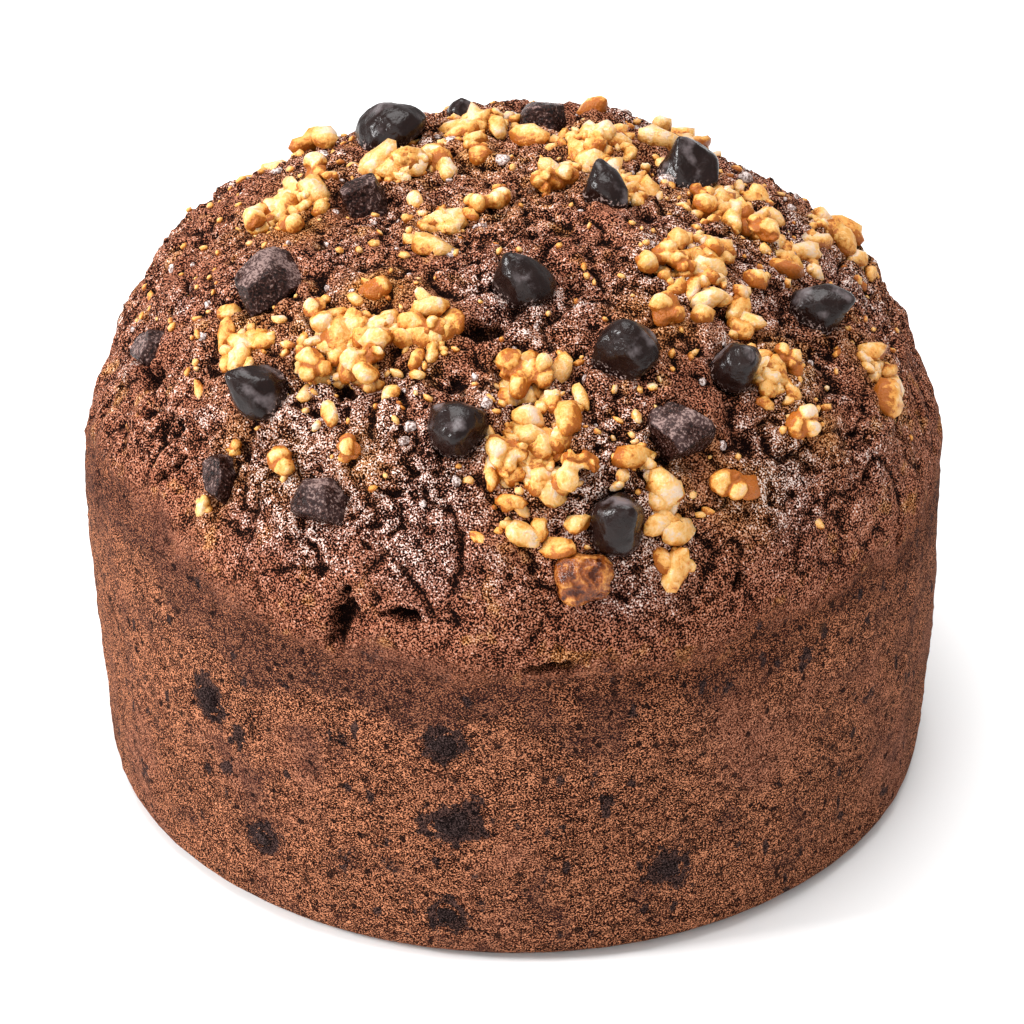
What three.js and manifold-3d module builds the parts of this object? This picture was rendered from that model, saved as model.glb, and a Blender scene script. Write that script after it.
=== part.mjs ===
// A pan de pascua: a round chocolate Christmas loaf with a domed crust. Chocolate chips, chopped
// chocolate, nuts and candied fruit are pressed into the crust, each in its own socket, and a few
// chocolate chunks show at the wall. The loaf stands on its flat foot.
//
// Units are millimetres, +Z is up, and the origin is on the surface that the loaf stands on, under
// the middle of its bounding box. A bearing is in degrees, anticlockwise from +X seen from above.

import * as THREE from 'three';
import { ConvexGeometry } from 'three/addons/geometries/ConvexGeometry.js';
import { mergeVertices } from 'three/addons/utils/BufferGeometryUtils.js';
import Module from 'manifold-3d';

// Driving dimensions of the loaf.
const wallRadius = 70;      // at the rim, where the loaf is widest
const wallFlare = 1;        // how much narrower the foot is than the rim
const footRound = 4;        // radius of the edge round the flat base
const rimHeight = 60;       // where the straight wall ends and the dome starts
const domeRise = 41;        // from the rim to the crown
const domeShoulder = 3.2;   // a higher power keeps the dome wide for longer
const domeCrown = 1.45;     // a lower power slopes the dome straight from the rim
const lean = 0.6;           // how far the rim stands to one side of the foot
const leanBearing = 180;
const footRadius = wallRadius - wallFlare;
const socketGap = 0.3;      // between a topping and the crust, and between two toppings

// How finely the skin is divided.
const turnSteps = 60;
const domeSteps = 12;
const wallSteps = 6;
const footSteps = 3;

// Broad swells left by the rising dough: each is one wave with its length, height and bearing.
const swells = [
  { length: 63, rise: 0.7, bearing: 25, phase: 0.4 },
  { length: 47, rise: 0.6, bearing: 110, phase: 2.1 },
  { length: 34, rise: 0.5, bearing: 160, phase: 4.4 },
  { length: 27, rise: 0.35, bearing: 70, phase: 1.2 },
];
const wallSwellShare = 0.45; // the tin held the wall flatter than the dome

// Toppings on the dome. down is the share of the way from the crown to the rim, seen from above.
// A chip's tip tilts by so many degrees towards a bearing.
const chipSink = 0.3; // share of a chip's height that is under the crust
const chips = [
  { bearing: 131, down: 0.45, width: 13, height: 8.5, tilt: 30, toward: 165 },
  { bearing: 105, down: 0.45, width: 6, height: 3, tilt: 10, toward: 90 },
  { bearing: 352, down: 0.21, width: 9, height: 8, tilt: 16, toward: 120 },
  { bearing: 273, down: 0.39, width: 10.5, height: 8, tilt: 10, toward: 130 },
  { bearing: 292, down: 0.61, width: 11, height: 9, tilt: 34, toward: 140 },
  { bearing: 312, down: 0.72, width: 8.5, height: 9, tilt: 6, toward: 90 },
  { bearing: 339, down: 0.74, width: 9.5, height: 8.5, tilt: 38, toward: 310 },
  { bearing: 225, down: 0.78, width: 9.5, height: 8.5, tilt: 18, toward: 100 },
  { bearing: 261, down: 0.76, width: 10.5, height: 8.5, tilt: 32, toward: 265 },
  { bearing: 284, down: 0.9, width: 10.5, height: 8, tilt: 12, toward: 120 },
  { bearing: 22, down: 0.43, width: 12, height: 8, tilt: 26, toward: 190 },
  { bearing: 72, down: 0.93, width: 10, height: 8, tilt: 15, toward: 60 },
  { bearing: 112, down: 0.88, width: 9.5, height: 8, tilt: 25, toward: 90 },
  { bearing: 49, down: 0.96, width: 9, height: 7.5, tilt: 20, toward: 70 },
];

// Chopped chocolate: length, width and height, with the length along a bearing.
const chunkSink = 0.5;
const chunks = [
  { bearing: 179, down: 0.34, size: [10, 9, 6.5], along: 10 },
  { bearing: 209, down: 0.61, size: [15, 10, 7.5], along: 35 },
  { bearing: 78, down: 0.39, size: [10, 9, 5.5], along: 160 },
  { bearing: 297, down: 0.8, size: [12, 10.5, 7.5], along: 120 },
  { bearing: 243, down: 0.9, size: [9.5, 9, 7], along: 20 },
  { bearing: 224, down: 0.92, size: [11, 5.5, 5.5], along: 60 },
  { bearing: 195, down: 0.86, size: [9, 8, 5.5], along: 90 },
  { bearing: 144, down: 0.93, size: [11, 8, 6.5], along: 50 },
  { bearing: 88, down: 0.93, size: [9, 8.5, 6.5], along: 130 },
];

// Chocolate that shows at the wall, flush with it. up is the share of the rim's height, and
// turn is the tilt of its length from level.
const wallChunkProud = 0.7; // how far it stands out of the wall
const wallChunks = [
  { bearing: 261, up: 0.7, size: [6.5, 6, 5], turn: 20 },
  { bearing: 262, up: 0.45, size: [10, 6, 5], turn: 10 },
  { bearing: 261, up: 0.15, size: [5, 5, 4], turn: 40 },
  { bearing: 235, up: 0.26, size: [5, 4.5, 4], turn: 60 },
  { bearing: 290, up: 0.27, size: [6, 6, 4.5], turn: 45 },
  { bearing: 227, up: 0.64, size: [7.5, 5, 4.5], turn: 110 },
  { bearing: 30, up: 0.55, size: [8, 6, 5], turn: 30 },
  { bearing: 95, up: 0.35, size: [7, 5.5, 4.5], turn: 75 },
  { bearing: 150, up: 0.6, size: [8.5, 5.5, 5], turn: 15 },
];

// Chopped nuts: each is one lump, or a few lumps stuck together in a row along a bearing.
const nutSink = 0.38;
const nuts = [
  { bearing: 160, down: 0.48, size: [6, 5.5, 4.5], along: 60, lumps: 2 },
  { bearing: 178, down: 0.585, size: [8, 4.5, 4], along: 65, lumps: 3 },
  { bearing: 188, down: 0.5, size: [5.5, 4.5, 4], along: 100, lumps: 1 },
  { bearing: 232, down: 0.49, size: [5.5, 4.5, 4], along: 20, lumps: 1 },
  { bearing: 226, down: 0.61, size: [6.5, 5, 4.5], along: 75, lumps: 2 },
  { bearing: 231, down: 0.7, size: [6.5, 5, 4.5], along: 80, lumps: 2 },
  { bearing: 241, down: 0.665, size: [7.5, 6, 5], along: 70, lumps: 3 },
  { bearing: 234, down: 0.87, size: [6, 5, 4.5], along: 0, lumps: 1 },
  { bearing: 245, down: 0.82, size: [5.5, 5, 4], along: 120, lumps: 1 },
  { bearing: 249, down: 0.55, size: [7, 5.5, 4.5], along: 110, lumps: 2 },
  { bearing: 110, down: 0.22, size: [6, 5, 4.5], along: 100, lumps: 1 },
  { bearing: 136, down: 0.29, size: [8.5, 5, 4.5], along: 60, lumps: 3 },
  { bearing: 225, down: 0.08, size: [7.5, 5.5, 4.5], along: 170, lumps: 2 },
  { bearing: 31, down: 0.1, size: [8, 4.5, 4.5], along: 35, lumps: 3 },
  { bearing: 50, down: 0.31, size: [8, 5.5, 4.5], along: 30, lumps: 2 },
  { bearing: 272, down: 0.64, size: [9, 6.5, 4.5], along: 160, lumps: 3 },
  { bearing: 0, down: 0.43, size: [7, 5.5, 4.5], along: 60, lumps: 2 },
  { bearing: 351, down: 0.56, size: [8, 4, 3.5], along: 145, lumps: 1 },
  { bearing: 319, down: 0.44, size: [10, 5, 4.5], along: 5, lumps: 3 },
  { bearing: 307, down: 0.555, size: [6, 5.5, 4.5], along: 40, lumps: 1 },
  { bearing: 323, down: 0.76, size: [6, 4.5, 4], along: 160, lumps: 1 },
  { bearing: 317, down: 0.85, size: [7, 6, 4], along: 20, lumps: 1 },
  { bearing: 303, down: 0.89, size: [8.5, 6, 4.5], along: 170, lumps: 1 },
  { bearing: 269, down: 0.8, size: [8, 6, 5], along: 60, lumps: 3 },
  { bearing: 279, down: 0.82, size: [8, 5.5, 4.5], along: 50, lumps: 3 },
  { bearing: 99, down: 0.85, size: [7, 5, 4.5], along: 20, lumps: 2 },
];

// Candied fruit: diced, with soft corners.
const fruitSink = 0.45;
const fruits = [
  { bearing: 279, down: 0.955, size: [9.5, 8, 6], along: 20 },
];

// How each kind is shaped: its corner points, how square it is, and how far they stray inwards.
const chunkShape = { points: 22, power: 5, spread: 0.18 };
const fruitShape = { points: 34, power: 3.2, spread: 0.08 };
const lumpShape = { points: 20, power: 2.3, spread: 0.16 };

const wasm = await Module();
wasm.setup();
const { Manifold, Mesh } = wasm;

const radians = THREE.MathUtils.degToRad;
const upward = new THREE.Vector3(0, 0, 1);

// The same few numbers on every run, from 0 to 1, for one piece's seed.
function seededNumbers(seed) {
  let state = (seed * 2654435761) >>> 0;
  return () => {
    state = (state + 0x6d2b79f5) >>> 0;
    let t = Math.imul(state ^ (state >>> 15), 1 | state);
    t = (t + Math.imul(t ^ (t >>> 7), 61 | t)) ^ t;
    return ((t ^ (t >>> 14)) >>> 0) / 4294967296;
  };
}

function toSolid(geometry) {
  const bare = new THREE.BufferGeometry();
  bare.setAttribute('position', geometry.getAttribute('position'));
  bare.setIndex(geometry.getIndex());
  const merged = mergeVertices(bare, 1e-3);
  const triVerts = new Uint32Array(merged.index.array);
  return new Manifold(new Mesh({ numProp: 3, vertProperties: merged.attributes.position.array, triVerts }));
}

function toGeometry(solid) {
  const mesh = solid.getMesh();
  const geometry = new THREE.BufferGeometry();
  geometry.setAttribute('position', new THREE.BufferAttribute(mesh.vertProperties, 3));
  geometry.setIndex(new THREE.BufferAttribute(mesh.triVerts, 1));
  geometry.computeVertexNormals();
  return geometry;
}

// ---- The loaf's skin ----

function bearingDirection(bearing) {
  return new THREE.Vector3(Math.cos(radians(bearing)), Math.sin(radians(bearing)), 0);
}

function domeHeight(out) {
  const share = Math.min(out / wallRadius, 1);
  return rimHeight + domeRise * (1 - share ** domeShoulder) ** (1 / domeCrown);
}

function wallOut(height) {
  const share = THREE.MathUtils.clamp((height - footRound) / (rimHeight - footRound), 0, 1);
  return footRadius + (wallRadius - footRadius) * Math.sin((share * Math.PI) / 2);
}

// The way that the dough swells at a point: level at the wall, turning upright at the crown.
function swellDirection(point) {
  return new THREE.Vector3(point.x, point.y, 1.6 * Math.max(0, point.z - rimHeight)).normalize();
}

function swellHeight(point) {
  let rise = 0;
  for (const { length, rise: height, bearing, phase } of swells) {
    const across = point.dot(bearingDirection(bearing));
    rise += height * Math.sin((2 * Math.PI * (across + 0.6 * point.z)) / length + phase);
  }
  const dome = THREE.MathUtils.smoothstep(point.z, rimHeight * 0.8, rimHeight + domeRise * 0.4);
  const offTheFoot = THREE.MathUtils.smoothstep(point.z, 0, 3 * footRound);
  return rise * offTheFoot * (wallSwellShare + (1 - wallSwellShare) * dome);
}

function swollen(point) {
  const leaning = (lean * Math.min(point.z, rimHeight)) / rimHeight;
  const swell = point.clone().addScaledVector(swellDirection(point), swellHeight(point));
  return swell.addScaledVector(bearingDirection(leanBearing), leaning);
}

function loafOutline() {
  const points = [new THREE.Vector2(0, 0)];
  const innerFoot = footRadius - footRound;
  points.push(new THREE.Vector2(innerFoot / 2, 0));
  for (let i = 0; i <= footSteps; i += 1) {
    const turn = ((i / footSteps) * Math.PI) / 2;
    const out = innerFoot + footRound * Math.sin(turn);
    points.push(new THREE.Vector2(out, footRound * (1 - Math.cos(turn))));
  }
  for (let i = 1; i < wallSteps; i += 1) {
    const height = THREE.MathUtils.lerp(footRound, rimHeight, i / wallSteps);
    points.push(new THREE.Vector2(wallOut(height), height));
  }
  for (let i = 0; i < domeSteps; i += 1) {
    const out = wallRadius * Math.cos(((i / domeSteps) * Math.PI) / 2);
    points.push(new THREE.Vector2(out, domeHeight(out)));
  }
  points.push(new THREE.Vector2(0, domeHeight(0)));
  return points;
}

// A LatheGeometry turns round +Y, so it is stood up before the dough swells it.
function loafGeometry() {
  const geometry = new THREE.LatheGeometry(loafOutline(), turnSteps);
  geometry.rotateX(Math.PI / 2);
  const position = geometry.getAttribute('position');
  const point = new THREE.Vector3();
  for (let i = 0; i < position.count; i += 1) {
    point.fromBufferAttribute(position, i);
    position.setXYZ(i, ...swollen(point).toArray());
  }
  return geometry;
}

// ---- Where a topping sits ----

// The point on the dome, and the way out of the crust there.
function domeSeat({ bearing, down }) {
  const out = down * wallRadius;
  const step = 0.2;
  const slope = (domeHeight(out + step) - domeHeight(out - step)) / (2 * step);
  const direction = bearingDirection(bearing);
  const point = swollen(direction.clone().multiplyScalar(out).setZ(domeHeight(out)));
  return { point, outward: direction.multiplyScalar(-slope).add(upward).normalize() };
}

function wallSeat({ bearing, up }) {
  const height = up * rimHeight;
  const outward = bearingDirection(bearing);
  const point = swollen(outward.clone().multiplyScalar(wallOut(height)).setZ(height));
  return { point, outward };
}

// A frame with its Z along axis and its X as near to lengthwise as it can be.
function frameAt(point, axis, lengthwise) {
  const z = axis.clone().normalize();
  const x = lengthwise.clone().addScaledVector(z, -lengthwise.dot(z)).normalize();
  const y = new THREE.Vector3().crossVectors(z, x);
  return new THREE.Matrix4().makeBasis(x, y, z).setPosition(point);
}

function sunk({ point, outward }, depth) {
  return point.clone().addScaledVector(outward, -depth);
}

// ---- The shapes of the toppings, each centred on its own origin ----

// A chip is a drop of chocolate: a flat bottom, a round shoulder and a blunt tip that leans.
function chipGeometry({ width, height }, seed) {
  const next = seededNumbers(seed);
  const radius = width / 2;
  const outline = [
    [0, 0], [0.82, 0], [1, 0.16], [0.93, 0.4], [0.7, 0.64], [0.4, 0.84], [0.15, 0.97], [0, 1],
  ].map(([out, up]) => new THREE.Vector2(out * radius, (up - 0.5) * height));
  const geometry = new THREE.LatheGeometry(outline, 10).rotateX(Math.PI / 2);
  const lean = (next() - 0.5) * 0.3 * width;
  const squeeze = 0.88 + 0.12 * next();
  const position = geometry.getAttribute('position');
  for (let i = 0; i < position.count; i += 1) {
    const share = position.getZ(i) / height + 0.5;
    position.setX(i, position.getX(i) + lean * share ** 2);
    position.setY(i, position.getY(i) * squeeze);
  }
  return geometry;
}

// A skin drawn over points near the surface of a rounded block. A higher power is squarer.
function blockGeometry(size, next, { points, power, spread }) {
  const goldenTurn = Math.PI * (3 - Math.sqrt(5));
  const cloud = [];
  for (let i = 0; i < points; i += 1) {
    const z = 1 - (2 * (i + 0.5)) / points;
    const turn = i * goldenTurn;
    const round = Math.sqrt(1 - z * z);
    const way = new THREE.Vector3(round * Math.cos(turn), round * Math.sin(turn), z);
    const reach = Math.abs(way.x) ** power + Math.abs(way.y) ** power + Math.abs(way.z) ** power;
    way.multiplyScalar((1 - spread * next()) * reach ** (-1 / power));
    cloud.push(way.multiply(new THREE.Vector3(size[0] / 2, size[1] / 2, size[2] / 2)));
  }
  return new ConvexGeometry(cloud);
}

// Lumps of a broken nut, side by side along X and joined where they touch.
function nutGeometry({ size, lumps }, seed) {
  const next = seededNumbers(seed);
  const [length, width, height] = size;
  const lumpLength = length / (0.45 + 0.55 * lumps);
  let solid = null;
  for (let i = 0; i < lumps; i += 1) {
    const place = lumps === 1 ? 0 : (i / (lumps - 1) - 0.5) * (length - lumpLength);
    const share = lumps === 1 ? 1 : 0.8 + 0.2 * next();
    const sideways = lumps === 1 ? 0 : (i % 2 ? 0.16 : -0.16) * width;
    const lump = blockGeometry([lumpLength, width * share, height * share], next, lumpShape);
    const part = toSolid(lump.rotateZ(0.6 * (next() - 0.5)).translate(place, sideways, 0));
    solid = solid ? solid.add(part) : part;
  }
  return toGeometry(solid);
}

// The space that a piece needs: a skin drawn tight round it, larger by the gap on every side.
function spaceFor(geometry, gap) {
  const position = geometry.getAttribute('position');
  const corners = [];
  for (let i = 0; i < position.count; i += 1) {
    corners.push(new THREE.Vector3().fromBufferAttribute(position, i));
  }
  const skin = new ConvexGeometry(corners);
  skin.computeBoundingBox();
  const middle = skin.boundingBox.getCenter(new THREE.Vector3());
  const size = skin.boundingBox.getSize(new THREE.Vector3());
  const growth = size.toArray().map((side) => 1 + (2 * gap) / side);
  skin.translate(...middle.clone().negate().toArray()).scale(...growth).translate(...middle.toArray());
  return skin;
}

// ---- Putting the loaf together ----

const colours = {
  crumb: new THREE.MeshStandardMaterial({ color: 0x6b4430, roughness: 0.9, metalness: 0 }),
  chocolate: new THREE.MeshStandardMaterial({ color: 0x2a1d1d, roughness: 0.4, metalness: 0 }),
  nut: new THREE.MeshStandardMaterial({ color: 0xd9a866, roughness: 0.65, metalness: 0 }),
  fruit: new THREE.MeshStandardMaterial({ color: 0x9a5522, roughness: 0.3, metalness: 0 }),
};

const numbered = (name, i) => `${name}_${String(i + 1).padStart(2, '0')}`;

// Every topping's shape round its own origin, with the frame that seats it.
function toppingList() {
  const list = [];
  chips.forEach((chip, i) => {
    const seat = domeSeat(chip);
    const tilt = radians(chip.tilt);
    const axis = seat.outward.clone().multiplyScalar(Math.cos(tilt));
    axis.addScaledVector(bearingDirection(chip.toward), Math.sin(tilt));
    const centre = sunk(seat, (chipSink - 0.5) * chip.height);
    const frame = frameAt(centre, axis, bearingDirection(chip.toward));
    list.push({ name: numbered('chocolate_chip', i), material: colours.chocolate, frame,
      geometry: chipGeometry(chip, 11 + i) });
  });
  chunks.forEach((chunk, i) => {
    const seat = domeSeat(chunk);
    const centre = sunk(seat, (chunkSink - 0.5) * chunk.size[2]);
    const frame = frameAt(centre, seat.outward, bearingDirection(chunk.along));
    list.push({ name: numbered('chocolate_chunk', i), material: colours.chocolate, frame,
      geometry: blockGeometry(chunk.size, seededNumbers(41 + i), chunkShape) });
  });
  fruits.forEach((fruit, i) => {
    const seat = domeSeat(fruit);
    const centre = sunk(seat, (fruitSink - 0.5) * fruit.size[2]);
    const frame = frameAt(centre, seat.outward, bearingDirection(fruit.along));
    list.push({ name: numbered('candied_fruit', i), material: colours.fruit, frame,
      geometry: blockGeometry(fruit.size, seededNumbers(61 + i), fruitShape) });
  });
  wallChunks.forEach((chunk, i) => {
    const seat = wallSeat(chunk);
    const level = new THREE.Vector3().crossVectors(upward, seat.outward);
    const lengthwise = level.multiplyScalar(Math.cos(radians(chunk.turn)));
    lengthwise.addScaledVector(upward, Math.sin(radians(chunk.turn)));
    const centre = sunk(seat, chunk.size[2] / 2 - wallChunkProud);
    const frame = frameAt(centre, seat.outward, lengthwise);
    list.push({ name: numbered('wall_chunk', i), material: colours.chocolate, frame,
      geometry: blockGeometry(chunk.size, seededNumbers(71 + i), chunkShape) });
  });
  nuts.forEach((nut, i) => {
    const seat = domeSeat(nut);
    const centre = sunk(seat, (nutSink - 0.5) * nut.size[2]);
    const frame = frameAt(centre, seat.outward, bearingDirection(nut.along));
    list.push({ name: numbered('nut', i), material: colours.nut, frame,
      geometry: nutGeometry(nut, 101 + i) });
  });
  return list;
}

// A piece that its neighbours cut into is what is left of it in the middle.
function largestPart(solid) {
  return solid.decompose().reduce((most, part) => (part.volume() > most.volume() ? part : most));
}

function namedMesh(name, geometry, material) {
  const mesh = new THREE.Mesh(geometry, material);
  mesh.name = name;
  return mesh;
}

function buildLoaf() {
  const group = new THREE.Group();
  let loaf = toSolid(loafGeometry());
  const placed = [];
  for (const { name, material, frame, geometry } of toppingList()) {
    let piece = toSolid(geometry.clone().applyMatrix4(frame));
    for (const space of placed) {
      if (piece.intersect(space).volume() > 0) piece = largestPart(piece.subtract(space));
    }
    const seated = toGeometry(piece);
    const space = toSolid(spaceFor(seated, socketGap));
    placed.push(space);
    loaf = loaf.subtract(space);
    const mesh = namedMesh(name, seated.applyMatrix4(frame.clone().invert()), material);
    frame.decompose(mesh.position, mesh.quaternion, mesh.scale);
    group.add(mesh);
  }
  group.add(namedMesh('loaf', toGeometry(loaf), colours.crumb));

  // The swells are a little stronger on one side, so the box round the loaf is centred here.
  const box = new THREE.Box3().setFromObject(group, true);
  const centre = box.getCenter(new THREE.Vector3());
  group.position.set(-centre.x, -centre.y, -box.min.z);
  return group;
}

export default buildLoaf();
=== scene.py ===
"""A chocolate pan de pascua: the baked loaf with its wrinkled crust, and the chips, chopped
chocolate, nuts and candied fruit that are pressed into it. Lengths are in metres, +Z is up."""
import math
import random

import bmesh
import bpy
import numpy as np
from bpy.props import FloatProperty, FloatVectorProperty, IntProperty, PointerProperty
from mathutils import Matrix, Vector, noise
from mathutils.bvhtree import BVHTree


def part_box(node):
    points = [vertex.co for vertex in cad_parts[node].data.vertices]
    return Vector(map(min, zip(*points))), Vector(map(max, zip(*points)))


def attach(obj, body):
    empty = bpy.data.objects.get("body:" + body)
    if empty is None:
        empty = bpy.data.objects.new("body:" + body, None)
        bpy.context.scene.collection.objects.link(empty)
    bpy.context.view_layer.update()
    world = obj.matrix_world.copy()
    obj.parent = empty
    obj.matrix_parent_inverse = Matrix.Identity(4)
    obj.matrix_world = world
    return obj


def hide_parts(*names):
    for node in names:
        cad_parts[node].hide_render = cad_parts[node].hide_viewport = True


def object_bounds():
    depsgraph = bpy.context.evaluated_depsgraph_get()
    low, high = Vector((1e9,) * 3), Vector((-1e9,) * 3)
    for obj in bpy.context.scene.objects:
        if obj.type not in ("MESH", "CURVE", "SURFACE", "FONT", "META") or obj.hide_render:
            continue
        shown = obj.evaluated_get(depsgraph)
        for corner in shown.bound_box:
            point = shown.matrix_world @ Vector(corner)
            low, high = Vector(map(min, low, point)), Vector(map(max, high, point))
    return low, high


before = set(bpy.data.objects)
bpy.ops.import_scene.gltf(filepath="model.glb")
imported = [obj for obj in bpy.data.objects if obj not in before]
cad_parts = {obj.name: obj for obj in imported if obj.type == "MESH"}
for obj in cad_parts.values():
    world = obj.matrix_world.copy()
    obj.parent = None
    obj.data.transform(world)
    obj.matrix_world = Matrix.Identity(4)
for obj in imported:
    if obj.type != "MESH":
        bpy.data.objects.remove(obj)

bl_info = {
    "name": "Pan de pascua",
    "version": (1, 0, 0),
    "blender": (4, 5, 0),
    "location": "View3D > Sidebar > Pascua",
    "description": "Bakes a chocolate pan de pascua around its frame",
    "category": "Object",
}

CAD_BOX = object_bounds()
MM = 0.001
# Points farther than this from a topping don't feel it.
FAR = 8 * MM
LOAF_LOW, LOAF_HIGH = (Vector(corner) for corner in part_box("loaf"))
LOAF_RADIUS = (LOAF_HIGH.x - LOAF_LOW.x) / 2
LOAF_TOP = LOAF_HIGH.z
RIM_HEIGHT = 0.59 * LOAF_TOP
NODE_NAMES = sorted(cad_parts)
TOPPINGS = [node for node in NODE_NAMES if node != "loaf"]


# ---- Settings that a user would change ----

class LoafSettings(bpy.types.PropertyGroup):
    """The baked loaf."""
    lumps: FloatProperty(name="Lumps", description="Height of the broad lumps in the crust",
                         default=1.35 * MM, min=0, unit="LENGTH")
    creases: FloatProperty(name="Creases", description="Depth of the creases between the plates of crust",
                           default=0.9 * MM, min=0, unit="LENGTH")
    roughness: FloatProperty(name="Rough crust", description="Height of the small roughness of the crust",
                             default=0.75 * MM, min=0, unit="LENGTH")
    lip: FloatProperty(name="Lip", description="How far the crust stands out over the wall",
                       default=0.5 * MM, min=0, unit="LENGTH")
    crust_edge: FloatProperty(name="Crust edge", description="Height above the base where the crust ends",
                              default=57 * MM, min=0, unit="LENGTH")
    # Painted shade: the near-black colour of the crust's low grain and creases.
    dark_crust: FloatVectorProperty(name="Dark crust", description="Colour in the hollows of the crust",
                                    subtype="COLOR", default=(0.005, 0.0015, 0.001), min=0, max=1)
    brown_crust: FloatVectorProperty(name="Brown crust", description="Colour of the crust between them",
                                     subtype="COLOR", default=(0.235, 0.068, 0.034), min=0, max=1)
    # Partly sugar dust, partly painted glints on the highest grains of the crust.
    dust_and_glint: FloatVectorProperty(name="Sugar dust", description="Colour of the dust on the crust",
                               subtype="COLOR", default=(0.80, 0.67, 0.61), min=0, max=1)
    # Painted shade: the near-black colour in the pores of the wall.
    dark_crumb: FloatVectorProperty(name="Dark crumb", description="Colour in the pores of the wall",
                                    subtype="COLOR", default=(0.006, 0.002, 0.0015), min=0, max=1)
    pale_crumb: FloatVectorProperty(name="Pale crumb", description="Colour of the raised grains of the wall",
                                    subtype="COLOR", default=(0.66, 0.265, 0.135), min=0, max=1)


class ToppingSettings(bpy.types.PropertyGroup):
    """What is pressed into the crust."""
    chocolate: FloatVectorProperty(name="Chocolate", description="Colour of the chocolate",
                                   subtype="COLOR", default=(0.0035, 0.0012, 0.001), min=0, max=1)
    bloom: FloatVectorProperty(name="Bloom", description="Colour of the dust on the chopped chocolate",
                               subtype="COLOR", default=(0.50, 0.35, 0.31), min=0, max=1)
    pale_nut: FloatVectorProperty(name="Pale nut", description="Colour of a nut where it stands out",
                                  subtype="COLOR", default=(0.73, 0.54, 0.39), min=0, max=1)
    golden_nut: FloatVectorProperty(name="Golden nut", description="Colour of a nut lower down",
                                    subtype="COLOR", default=(0.66, 0.27, 0.045), min=0, max=1)
    peel: FloatVectorProperty(name="Peel", description="Colour of the candied fruit",
                              subtype="COLOR", default=(0.22, 0.052, 0.008), min=0, max=1)
    crumbs: IntProperty(name="Loose crumbs", description="Small crumbs of nut strewn over the crust",
                        default=420, min=0)
    grains: IntProperty(name="Sugar grains", description="Coarse grains of sugar on the crust",
                        default=110, min=0)


class StageSettings(bpy.types.PropertyGroup):
    """The floor, the lights and the camera."""
    distance: FloatProperty(name="Distance", description="From the camera to the middle of the loaf",
                            default=0.7, min=0.2, unit="LENGTH")
    elevation: FloatProperty(name="Elevation", description="How far the camera looks down",
                             default=math.radians(32), subtype="ANGLE")
    lens: FloatProperty(name="Lens", description="Focal length for a sensor 36 mm wide, in millimetres",
                        default=147.8, min=20)
    top_power: FloatProperty(name="Top light", description="Power of the wide light overhead, in watts",
                             default=22, min=0)
    key_power: FloatProperty(name="Key light", description="Power of the soft light at the left, in watts",
                             default=16, min=0)
    fill_power: FloatProperty(name="Fill light", description="Power of the wide light in front, in watts",
                              default=7, min=0)
    sky: FloatProperty(name="Sky", description="Strength of the white surroundings",
                       default=0.58, min=0)


# ---- Small tools for meshes ----

def deselect_all():
    if bpy.context.object and bpy.context.object.mode != "OBJECT":
        bpy.ops.object.mode_set(mode="OBJECT")
    bpy.ops.object.select_all(action="DESELECT")


def choose(obj):
    deselect_all()
    obj.select_set(True)
    bpy.context.view_layer.objects.active = obj


def rows_of(items, name, width, kind=np.float32):
    """One attribute of all of a mesh's vertices, edges or faces, a row for each."""
    flat = np.empty(len(items) * width, dtype=kind)
    items.foreach_get(name, flat)
    return flat.reshape(-1, width)


def points_of(mesh):
    return rows_of(mesh.vertices, "co", 3).astype(np.float64)


def set_points(mesh, points):
    mesh.vertices.foreach_set("co", points.astype(np.float32).ravel())
    mesh.update()


def normals_of(mesh):
    return rows_of(mesh.vertex_normals, "vector", 3).astype(np.float64)


def edges_of(mesh):
    return rows_of(mesh.edges, "vertices", 2, np.int32)


def triangles_of(mesh):
    return rows_of(mesh.polygons, "vertices", 3, np.int32)


def set_attribute(mesh, name, values):
    layer = mesh.attributes.get(name) or mesh.attributes.new(name, "FLOAT", "POINT")
    layer.data.foreach_set("value", np.asarray(values, dtype=np.float32))


def smoothstep(low, high, value):
    share = np.clip((value - low) / (high - low), 0, 1)
    return share * share * (3 - 2 * share)


def unit(vectors):
    return vectors / np.maximum(np.linalg.norm(vectors, axis=-1, keepdims=True), 1e-12)


def waves(points, size, seed, octaves=3):
    """Cloudy noise, about -1 to 1, with features of that size."""
    scaled = points / size + seed * 17.31
    return np.array([noise.fractal(Vector(p), 0.9, 2.0, octaves) for p in scaled])


def grains_at(points, size, seed):
    """How far each point is from the middle of its grain and from the seam beside it, in grain sizes."""
    scaled = points / size + seed * 13.7
    near = np.array([noise.voronoi(Vector(p))[0][:2] for p in scaled])
    return near[:, 0], near[:, 1] - near[:, 0]


def push_out(obj, move):
    """Moves an object's points along their normals, and returns them."""
    points = points_of(obj.data) + normals_of(obj.data) * move[:, None]
    set_points(obj.data, points)
    return points


def new_object(name, mesh):
    obj = bpy.data.objects.new(name, mesh)
    bpy.context.scene.collection.objects.link(obj)
    return obj


def edit_whole(obj, step, **settings):
    """Takes one of edit mode's steps on a whole mesh."""
    choose(obj)
    bpy.ops.object.mode_set(mode="EDIT")
    bpy.ops.mesh.select_all(action="SELECT")
    step(**settings)
    bpy.ops.object.mode_set(mode="OBJECT")


def apply_modifier(obj, kind, **settings):
    choose(obj)
    modifier = obj.modifiers.new(kind.title(), kind)
    for key, value in settings.items():
        setattr(modifier, key, value)
    bpy.ops.object.modifier_apply(modifier=modifier.name)


def soften(obj, passes):
    edit_whole(obj, bpy.ops.mesh.vertices_smooth, factor=0.5, repeat=passes)


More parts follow.
